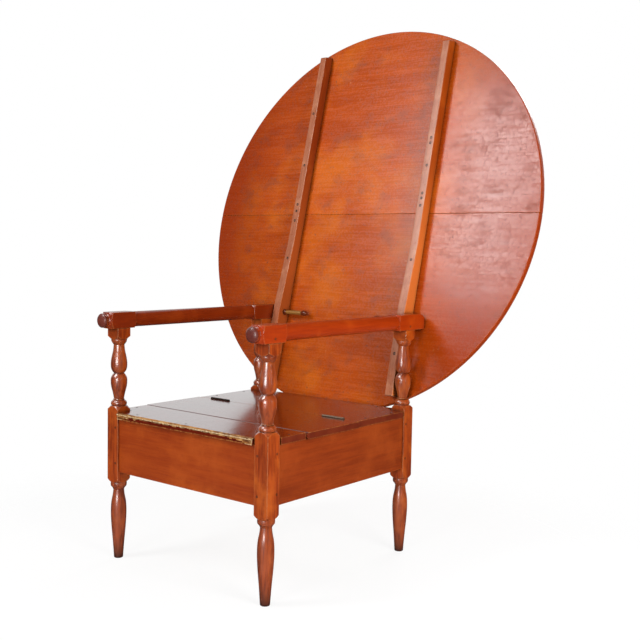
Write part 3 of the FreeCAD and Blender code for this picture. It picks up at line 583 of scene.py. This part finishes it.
# Pine of the box, satin orange-brown with a soft broad figure, along X and along Y
BOX_WOOD = {"bare": "B87A3C", "streak": 4 * MM, "gloss": 0.1, "roughness": 0.42}
box_pine = (
    shellacked_wood("shellacked_pine_front", 0, "822B06", "9E400C", "A84A12", figure=0.7, **BOX_WOOD),
    shellacked_wood("shellacked_pine_sides", 1, "702606", "8C360B", "943E10", figure=0.8, **BOX_WOOD),
)
# Seat boards: a thick dark film that mirrors what stands behind it
seat_pine = shellacked_wood("dark_shellacked_pine_seat", 0, "4C0C02", "5C1202", "641804", "B87C42",
                            figure=0.5, specular=0.1, gloss=1.0, film_roughness=0.14, film_ior=1.55,
                            roughness=0.25, scuff=0.05, rub=4 * MM, wear=1.0, ripple=0.01, relief=0.05)
# Sawn ends of the seat boards, browner and duller
seat_ends = shellacked_wood("dark_shellacked_pine_ends", 0, "56190A", "68240C", "722C12", "B07038",
                            gloss=0.2, roughness=0.5, rub=2 * MM, wear=0.9)
# The front arris of the seat, rubbed and chipped through to tan and cream wood
seat_edge = shellacked_wood("chipped_bare_pine_edge", 0, "5E3010", "A86E34", "D0A468", "EAD0A4",
                            streak=4 * MM, band=10 * MM, patch=22 * MM, figure=1.2, gloss=0.0,
                            roughness=0.6, wear=0.8, dirt_and_shade=0.9)
# The top: a thin satin film over wide boards, stained and nicked, and darker towards its left and right edges
TOP_WOOD = {
    "bare": "B8722E", "streak": 5 * MM, "band": 38 * MM, "patch": 230 * MM, "figure": 0.65,
    "specular": 0.44, "gloss": 0.0, "roughness": 0.21, "scuff": 0.32, "flecks": 0.7, "relief": 0.06,
    "ripple": 0.05, "stain": 0.38, "tint": RIM_TINT,
}
top_pine = {
    "upper": shellacked_wood("shellacked_pine_upper_top", 0, "A23C08", "C25210", "CE6616", **TOP_WOOD),
    "lower": shellacked_wood("shellacked_pine_lower_top", 0, "9C3A06", "BC500C", "C86210", **TOP_WOOD),
}
# Faces of the cleats, where the film is worn off to pinkish tan wood with open pores
cleat_face = shellacked_wood("worn_maple_cleat_faces", 2, "985436", "AE6848", "BE8060", "D8B494",
                             slant=-lean, streak=3 * MM, band=9 * MM, patch=60 * MM, figure=0.9,
                             specular=0.5, gloss=0.0, roughness=0.28, wear=0.9)
# Sides of the cleats, still red under a thin film, with painted light round the pivot; the left cleat's sides are
# darker, painted shade
CLEAT_WOOD = {
    "slant": -lean, "streak": 4 * MM, "band": 12 * MM, "patch": 80 * MM, "gloss": 0.1, "roughness": 0.45,
}
cleat_side = {
    "left": shellacked_wood("shellacked_maple_left_cleat_painted_light_and_shade", 2, "7C2C0C", "8C3810", "984416", "CE9870",
                            tint=PIVOT_PAINTED_LIGHT["left"], **CLEAT_WOOD),
    "right": shellacked_wood("shellacked_maple_right_cleat_painted_light", 2, "8E380A", "A3460F", "B05214", "DCAE80",
                             tint=PIVOT_PAINTED_LIGHT["right"], **CLEAT_WOOD),
}
# Pivot pegs: knob and collar dark brown under the film, grip worn by hands to smooth tan wood
peg_dark = shellacked_wood("dark_shellacked_peg", 0, "4A1A0A", "5E240E", "6A2C12", "8A5A30", gloss=0.4)
peg_worn = bare_wood("hand_worn_maple_grip", 0, "7E5220", "A8783A", roughness=0.38)
# Ends of the pins in the joints, small dark dots, and the raw brown pine inside the box
pin_wood = bare_wood("oak_pins_end_grain", 2, "4A1E0C", "6A2C10", roughness=0.45)
inside_pine = bare_wood("bare_old_pine", 0, "8A6440", "B08A5C")
# The left hinge is still black with scale, the right one is scoured to grey and tan
iron = old_iron("old_forged_iron", "3B3632", "4A2A1A")
scoured_iron = old_iron("scoured_iron_with_tan_rust", "8A7C6C", "7A4E30")

# Square stock: a radius that clears the corners of the blank, and half its planed width
corner_radius = half_blank * math.sqrt(2) + PAST
half_planed = half_blank - SHRUNK


# Posts, turned from square stock
def post_piece():
    """One post about the Z axis, cut square where the corners of the blank were left."""
    arm_under = arm_low.z
    head_low = arm_under - HEAD
    spindle = head_low - BLOCK_HIGH
    outline = [(0.0, 0.0, True)]
    outline += [(share * BLOCK_LOW, radius * half_blank, corner) for share, radius, corner in FOOT_OUTLINE]
    outline += [(BLOCK_LOW, corner_radius, True), (BLOCK_HIGH, corner_radius, True)]
    outline += [(BLOCK_HIGH + share * spindle, radius * half_blank, corner)
                for share, radius, corner in SPINDLE_OUTLINE]
    outline += [(head_low, corner_radius, True), (arm_under + PAST, corner_radius, True),
                (arm_under + PAST, 0.0, True)]
    piece = turn("post_pattern", outline)
    blank = block("post_blank", (-half_planed, -half_planed, -PAST), (half_planed, half_planed, arm_under))
    return cut(piece, ease(blank, ARRIS), "INTERSECT")


pattern = post_piece()
for node in POSTS:
    low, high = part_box(node)
    centre = Vector(((low.x + high.x) / 2, (low.y + high.y) / 2, 0))
    post = copy_of(pattern, node + "_turned", Matrix.Translation(centre))
    dress(post, node, turned_maple, block_maple, turned=True)
    refinish(post, 1, lambda face: max(abs(face.normal.x), abs(face.normal.y)) > FLAT_FACE
             and max(abs(face.center.x - centre.x), abs(face.center.y - centre.y)) > half_blank - NEAR)
bpy.data.objects.remove(pattern)


# Arms, turned from square stock and pared off at the heel
def pare_heel(blank):
    """Plane off the top rear corner of an arm in strokes that follow a curve."""
    start_y = pivot.y - HEEL_RUN
    centre = Vector((0, start_y, arm_high.z - HEEL_RADIUS))
    sweep = math.asin((arm_high.y - start_y) / HEEL_RADIUS)
    take(blank)
    bpy.ops.object.mode_set(mode="EDIT")
    for stroke in range(HEEL_STROKES):
        angle = sweep * (stroke + 0.5) / HEEL_STROKES
        out = Vector((0, math.sin(angle), math.cos(angle)))
        bpy.ops.mesh.select_all(action="SELECT")
        bpy.ops.mesh.bisect(plane_co=centre + out * HEEL_RADIUS, plane_no=out, use_fill=True,
                            clear_outer=True)
    begin()


def arm_piece():
    """One arm in the plane x = 0, from its knob to its heel."""
    knob_end = front_y - BLOCK_REACH
    block_end = front_y + BLOCK_REACH
    rear_start = rear_y - REAR_BLOCK_REACH
    axis_z = (arm_low.z + arm_high.z) / 2
    shoulder = SHOULDER_SHARE * half_blank
    outline = [(knob_end - share * KNOB, radius * half_blank, corner)
               for share, radius, corner in KNOB_OUTLINE]
    outline += [
        (knob_end, shoulder, True), (knob_end + SHOULDER, corner_radius, True),
        (block_end - SHOULDER, corner_radius, True), (block_end, shoulder, True),
        (block_end, BAR_RADIUS, True), (rear_start, BAR_RADIUS, True),
        (rear_start, shoulder, True), (rear_start + SHOULDER, corner_radius, True),
        (arm_high.y + PAST, corner_radius, True), (arm_high.y + PAST, 0.0, True),
    ]
    piece = turn("arm_pattern", outline)
    moved(piece, Matrix.Translation((0, 0, axis_z)) @ Matrix.Rotation(-math.pi / 2, 4, "X"))
    blank = block("arm_blank", (-half_planed, arm_low.y - PAST, arm_low.z),
                  (half_planed, arm_high.y, arm_high.z - SHRUNK))
    pare_heel(blank)
    ease(blank, ARRIS, angle=HEEL_SHARP)
    return cut(piece, blank, "INTERSECT")


def pivot_bore(side):
    """The drill for a pivot peg, through the cleat and into the arm."""
    ends = (peg_low.x, post_x + half_blank - BORE_WALL)
    return rod(*(Vector((side * x, pivot.y, pivot.z)) for x in ends), BORE_RADIUS, DRILL_SIDES)


pattern = arm_piece()
for side_name, side in SIDES:
    node = "arm_" + side_name
    arm = copy_of(pattern, node + "_turned", Matrix.Translation((side * post_x, 0, 0)))
    dress(cut(arm, pivot_bore(side)), node, arm_maple[side_name], knob_grain, turned=True)
    refinish(arm, 1, lambda face: face.center.y < front_y - BLOCK_REACH - BUTTON_SHARE * KNOB)
bpy.data.objects.remove(pattern)


# Sides of the box, each with its grain along X or Y
for node, axis in (("apron_front", 0), ("apron_rear", 0), ("apron_left", 1), ("apron_right", 1)):
    low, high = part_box(node)
    low[axis] += TENON - PAST
    high[axis] -= TENON - PAST
    dress(ease(block(node + "_board", low, high), ARRIS), node, box_pine[axis])


# Seat boards
def notched(board, low, high, start_y, end_y):
    """Cut both corners out of a seat board to let the posts through."""
    notch_x = post_x - half_blank - NOTCH_GAP
    for side in (-1, 1):
        ends = sorted((side * notch_x, side * (high.x + PAST)))
        tool = block("notch", (ends[0], start_y, low.z - PAST), (ends[1], end_y, high.z + PAST))
        cut(board, ease(tool, ARRIS))
    return board


def hinge_spaces(board):
    """Room for the knuckles of both hinges in the edge of a board."""
    for node in ("hinge_pin_left", "hinge_pin_right"):
        low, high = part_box(node)
        ends = (low.x - KNUCKLE_END_GAP, high.x + KNUCKLE_END_GAP)
        tool = rod(*(Vector((x, hinge_axis.y, hinge_axis.z)) for x in ends), KNUCKLE_SPACE, KNUCKLE_SIDES)
        cut(board, tool)
    return board


def wear_front(board, low, high):
    """Round over the front arris of a board and chip it unevenly."""
    take(board)
    bpy.ops.object.mode_set(mode="EDIT")
    for across, cuts in (((1, 0, 0), FRONT_CUTS), ((0, 0, 1), FACE_CUTS)):
        for step in range(1, cuts):
            bpy.ops.mesh.select_all(action="SELECT")
            bpy.ops.mesh.bisect(plane_co=low.lerp(high, step / cuts), plane_no=across)
    pick(board, lambda point: point.y < low.y + NEAR and point.z > high.z - NEAR)
    bpy.ops.mesh.bevel(offset=FRONT_ARRIS, segments=ROUND_STEPS, affect="EDGES")
    begin()
    ease(board, SEAT_ARRIS, angle=FRONT_SHARP)
    chips = bpy.data.textures.new("chips", "CLOUDS")
    chips.noise_scale = CHIP_LENGTH
    arris = [vertex for vertex in board.data.vertices
             if vertex.co.y < low.y + FRONT_ARRIS + NEAR / 2 and vertex.co.z > high.z - FRONT_ARRIS - NEAR]
    for row, upper in (("upper_line", True), ("rounded_face", False)):
        chosen = [vertex.index for vertex in arris if (vertex.co.z > high.z - MERGE) == upper]
        board.vertex_groups.new(name=row).add(chosen, 1.0, "REPLACE")
    modify(board, "DISPLACE", texture=chips, texture_coords="LOCAL", vertex_group="upper_line",
           direction="Y", strength=2 * FRONT_CHIPS, mid_level=0.5)
    modify(board, "DISPLACE", texture=chips, texture_coords="LOCAL", vertex_group="rounded_face",
           strength=FRONT_CHIPS, mid_level=1.0)
    board.vertex_groups.clear()
    return board


def rubbed_depth(x, thickness):
    """How far down a board's front face the film is rubbed off: unevenly, and further at the ends."""
    uneven = noise.noise(Vector((x / CHIP_LENGTH, 0, 0)))
    towards_end = abs(x) / (post_x - half_blank)
    return FRONT_ARRIS * (RUBBED_ARRISES + uneven) + thickness * towards_end ** RUBBED_END_POWER


low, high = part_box("seat_front_board")
front_board = block("seat_front_board_worn", low, high - Vector((0, SHRUNK, SHRUNK)))
notched(front_board, low, high, low.y - PAST, front_y + half_blank + NOTCH_GAP)
wear_front(front_board, low, high - Vector((0, 0, SHRUNK)))
dress(front_board, "seat_front_board", seat_pine, seat_ends, seat_edge)
refinish(front_board, 1, lambda face: abs(face.normal.x) > FACING)
refinish(front_board, 2, lambda face: face.center.y < low.y + FRONT_ARRIS and face.normal.z < LEVEL
         and face.center.z > high.z - rubbed_depth(face.center.x, high.z - low.z))

low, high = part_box("seat_lid")
lid = block("seat_lid_worn", low, high - Vector((0, SHRUNK, SHRUNK)))
pick(lid, lambda point: point.y < low.y + NEAR)
bpy.ops.mesh.bevel(offset=LID_ROUND, segments=LID_ROUND_STEPS, affect="EDGES")
begin()
dress(ease(hinge_spaces(lid), SEAT_ARRIS), "seat_lid", seat_pine, seat_ends, seat_edge)
refinish(lid, 1, lambda face: abs(face.normal.x) > FACING)
refinish(lid, 2, lambda face: face.center.y < low.y + LID_ROUND and face.center.x > LID_RUBBED_FROM
         and ROUNDED < face.normal.z < LEVEL)

low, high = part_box("seat_rear_board")
rear_board = block("seat_rear_board_worn", low + Vector((0, SHRUNK, 0)), high - Vector((0, 0, SHRUNK)))
notched(rear_board, low, high, rear_y - half_blank - NOTCH_GAP, high.y + PAST)
dress(ease(hinge_spaces(rear_board), SEAT_ARRIS), "seat_rear_board", seat_pine, seat_ends)
refinish(rear_board, 1, lambda face: abs(face.normal.x) > FACING)


# The round top
def top_board(name, keep):
    """One board of the round top: keep is 1 above the joint and -1 below."""
    begin()
    bpy.ops.mesh.primitive_cylinder_add(vertices=RIM_SEGMENTS, radius=top_radius, depth=TOP_THICKNESS,
                                        location=top_centre, rotation=(math.pi / 2, 0, 0))
    piece = apply_place(bpy.context.object)
    piece.name = name
    ease(piece, RIM_ROUND, angle=RIM_SHARP)
    pick(piece, lambda point: True)
    bpy.ops.mesh.bisect(plane_co=(0, top_centre.y, joint_z), plane_no=(0, 0, -keep), use_fill=True,
                        clear_outer=True)
    ease(piece, JOINT_ROUND, segments=JOINT_STEPS, angle=RIM_SHARP)
    return moved(piece, lean_back)


for part, keep in (("upper", 1), ("lower", -1)):
    node = "top_board_" + part
    dress(top_board(node + "_planed", keep), node, top_pine[part])


# Cleats
def cleat_piece(name, side):
    """A cleat, deepest at the pivot, thinner and narrower towards its upper end, which is sloped off."""
    chord = math.sqrt(top_radius ** 2 - cleat_high.x ** 2)
    low_z = top_centre.z - chord + CLEAT_LOWER_GAP
    high_z = top_centre.z + chord - CLEAT_UPPER_GAP
    face_y = underside_y - CLEAT_DEPTH + SHRUNK
    xs = sorted((side * cleat_low.x, side * cleat_high.x))
    piece = block(name, (xs[0], face_y, low_z), (xs[1], underside_y, high_z))
    swell_z = pivot.z + CLEAT_SWELL
    for height in (pivot.z, swell_z):
        pick(piece, lambda point: True)
        bpy.ops.mesh.bisect(plane_co=(0, 0, height), plane_no=(0, 0, 1))
    for height, depth in ((low_z, CLEAT_FOOT_DEPTH), (pivot.z, CLEAT_PIVOT_DEPTH)):
        slide(piece, lambda point: point.y < underside_y - NEAR and abs(point.z - height) < NEAR,
              (0, CLEAT_DEPTH - depth, 0))
    slide(piece, lambda point: point.y < underside_y - NEAR and point.z > high_z - NEAR,
          (0, 0, -CLEAT_END_SLOPE))
    slide(piece, lambda point: point.x * side > cleat_high.x - NEAR and point.z > swell_z + NEAR,
          (-side * CLEAT_TAPER, 0, 0))
    ease(piece, CLEAT_ROUND)
    moved(piece, lean_back)
    return cut(piece, pivot_bore(side))


for side_name, side in SIDES:
    node = "cleat_" + side_name
    cleat = dress(cleat_piece(node + "_planed", side), node, cleat_face, cleat_side[side_name])
    refinish(cleat, 1, lambda face: abs(face.normal.x) > FACING)


# Pivot pegs
def peg_piece(name, side):
    """A turned peg: knob, worn grip, collar against the cleat, shank in the arm."""
    outline = []
    start = peg_low.x
    for zone, (length, radius) in PEG_ZONES.items():
        outline += [(start + share * length, part * radius, corner)
                    for share, part, corner in PEG_OUTLINES[zone]]
        start += length
    outline += [(start, PEG_SHANK_RADIUS, True), (peg_high.x, PEG_SHANK_RADIUS, True),
                (peg_high.x, 0.0, True)]
    piece = turn(name, outline)
    sideways = Matrix.Rotation(side * math.pi / 2, 4, "Y")
    return moved(piece, Matrix.Translation((0, pivot.y, pivot.z)) @ sideways)


grip_start = PEG_ZONES["knob"][0]
grip_end = grip_start + PEG_ZONES["grip"][0]
for side_name, side in SIDES:
    node = "pivot_peg_" + side_name
    peg = dress(peg_piece(node + "_turned", side), node, peg_dark, peg_worn, turned=True)
    refinish(peg, 1, lambda face: grip_start < abs(face.center.x) - peg_low.x < grip_end)


# What stays as the CAD model has it
plain_finishes = {"peg_wood": pin_wood, "inside_wood": inside_pine, "iron": iron}
for node, piece in frame["nodes"].items():
    if not piece.hide_render:
        piece.data.materials.clear()
        rubbed = node.startswith("hinge") and node.endswith("right")
        piece.data.materials.append(scoured_iron if rubbed else plain_finishes[slot_of[node]])


# Floor, light and camera
# Camera: its place from the middle of the posts, its heading, dip and roll in radians, and its lens
CAMERA_FROM_POSTS = Vector((1.8645, -2.0612, 0.896))
CAMERA_HEADING = 0.6777
CAMERA_DIP = 0.074
CAMERA_ROLL = 0.0181
CAMERA_LENS = 54.28
LAMP_AIM = Vector((0.05, middle_y + 0.15, 0.75))
# Name, place from the middle of the posts, width, height, power and whether it shows in gloss, of each lamp
SOFTBOXES = (
    ("key_softbox", (-0.98, -1.78, 2.40), 0.62, 1.25, 38, True),
    ("front_strip", (0.62, -2.70, 0.80), 0.80, 0.90, 30, True),
    ("right_strip", (2.15, -0.45, 0.95), 0.95, 1.25, 46, False),
    ("back_fill", (-0.40, 2.60, 1.90), 1.60, 1.20, 40, True),
)
# Floor: its edge, the distances over which it fades out, and how much of it glows where it is seen
FLOOR_RADIUS = 6.0
FLOOR_SIDES = 96
FLOOR_FADE = {1: 0.75, 2: 1.4}
FLOOR_GLOW = 0.85
# Room: its glow in a mirror, its light, and where the backdrop sets in, from its sides and from its foot
ROOM_GLOW = 0.03
ROOM_LIGHT = 0.30
BACKDROP_EDGE = {1: math.cos(math.radians(66)), 2: math.cos(math.radians(44))}
BACKDROP_FOOT = {1: -0.02, 2: 0.10}


def ray_kinds(tree):
    """Two outputs: 1 for rays from the camera, and 1 for rays from a mirror or through glass."""
    path = add(tree, "LightPath").outputs
    mirrored = add(tree, "Math", {0: path["Is Glossy Ray"], 1: path["Is Transmission Ray"]},
                   operation="MAXIMUM").outputs[0]
    return path["Is Camera Ray"], mirrored


def studio_floor():
    """A white floor that keeps a faint soft shadow and fades into the white round it."""
    begin()
    bpy.ops.mesh.primitive_circle_add(vertices=FLOOR_SIDES, radius=FLOOR_RADIUS, fill_type="NGON")
    floor = bpy.context.object
    floor.name = "studio_floor"
    material, tree = blank_material("white_studio_floor")
    place = add(tree, "TexCoord").outputs["Object"]
    away = add(tree, "VectorMath", {0: place, 1: (0, middle_y, 0)}, operation="DISTANCE").outputs["Value"]
    fade = add(tree, "MapRange", {0: away, **FLOOR_FADE}, **SOFT).outputs[0]
    white = add(tree, "BsdfDiffuse", {"Color": linear("FAFAFA")}).outputs[0]
    bright = add(tree, "Emission", {"Color": linear("FFFFFF"), "Strength": 1.0}).outputs[0]
    seen, mirrored = ray_kinds(tree)
    shown = add(tree, "Math", {0: seen, 1: mirrored}, operation="MAXIMUM").outputs[0]
    share = add(tree, "MapRange", {0: shown, 4: FLOOR_GLOW}).outputs[0]
    lit = add(tree, "MixShader", {0: share, 1: white, 2: bright}).outputs[0]
    clear = add(tree, "BsdfTransparent").outputs[0]
    mixed = add(tree, "MixShader", {0: fade, 1: lit, 2: clear}).outputs[0]
    add(tree, "OutputMaterial", {"Surface": mixed})
    floor.data.materials.append(material)
    floor.visible_glossy = False


def studio_world():
    """White where it is seen. Mirrors show a white backdrop behind the chair and a dim room in front."""
    world = bpy.data.worlds.new("white_studio")
    bpy.context.scene.world = world
    world.use_nodes = True
    tree = world.node_tree
    tree.nodes.clear()
    seen, mirrored = ray_kinds(tree)
    direction = add(tree, "TexCoord").outputs["Generated"]
    behind = Vector((-math.sin(CAMERA_HEADING), math.cos(CAMERA_HEADING), 0))
    toward = add(tree, "VectorMath", {0: direction, 1: behind}, operation="DOT_PRODUCT").outputs["Value"]
    backdrop = add(tree, "MapRange", {0: toward, **BACKDROP_EDGE}, **SOFT).outputs[0]
    height = add(tree, "SeparateXYZ", {0: direction}).outputs["Z"]
    foot = add(tree, "MapRange", {0: height, **BACKDROP_FOOT}, **SOFT).outputs[0]
    backdrop = add(tree, "Math", {0: backdrop, 1: foot}, operation="MULTIPLY").outputs[0]
    backdrop = add(tree, "MapRange", {0: backdrop, 3: ROOM_GLOW, 4: 1.0}).outputs[0]
    strength = add(tree, "Mix", {0: mirrored, 2: ROOM_LIGHT, 3: backdrop}).outputs[0]
    strength = add(tree, "Math", {0: strength, 1: seen}, operation="MAXIMUM").outputs[0]
    sky = add(tree, "Background", {"Color": linear("FFFFFF"), "Strength": strength})
    add(tree, "OutputWorld", {"Surface": sky.outputs[0]})


def softbox(name, place, width, height, power, mirrored):
    """A soft area lamp aimed at the chair, hidden from the camera and shown in gloss if mirrored."""
    begin()
    aim = (LAMP_AIM - place).to_track_quat("-Z", "Y")
    bpy.ops.object.light_add(type="AREA", location=place, rotation=aim.to_euler())
    lamp = bpy.context.object
    lamp.name = name
    lamp.data.shape = "RECTANGLE"
    lamp.data.size = width
    lamp.data.size_y = height
    lamp.data.energy = power
    lamp.visible_camera = False
    lamp.visible_glossy = mirrored


studio_floor()
studio_world()
posts_middle = Vector((0, middle_y, 0))
for name, place, *settings in SOFTBOXES:
    softbox(name, posts_middle + Vector(place), *settings)

begin()
bpy.ops.object.camera_add()
camera = bpy.context.object
camera.data.lens = CAMERA_LENS
camera.matrix_world = (
    Matrix.Translation(posts_middle + CAMERA_FROM_POSTS) @ Matrix.Rotation(CAMERA_HEADING, 4, "Z")
    @ Matrix.Rotation(math.pi / 2 - CAMERA_DIP, 4, "X") @ Matrix.Rotation(CAMERA_ROLL, 4, "Z")
)
bpy.context.scene.camera = camera
bpy.context.scene.view_settings.view_transform = "Standard"

begin()
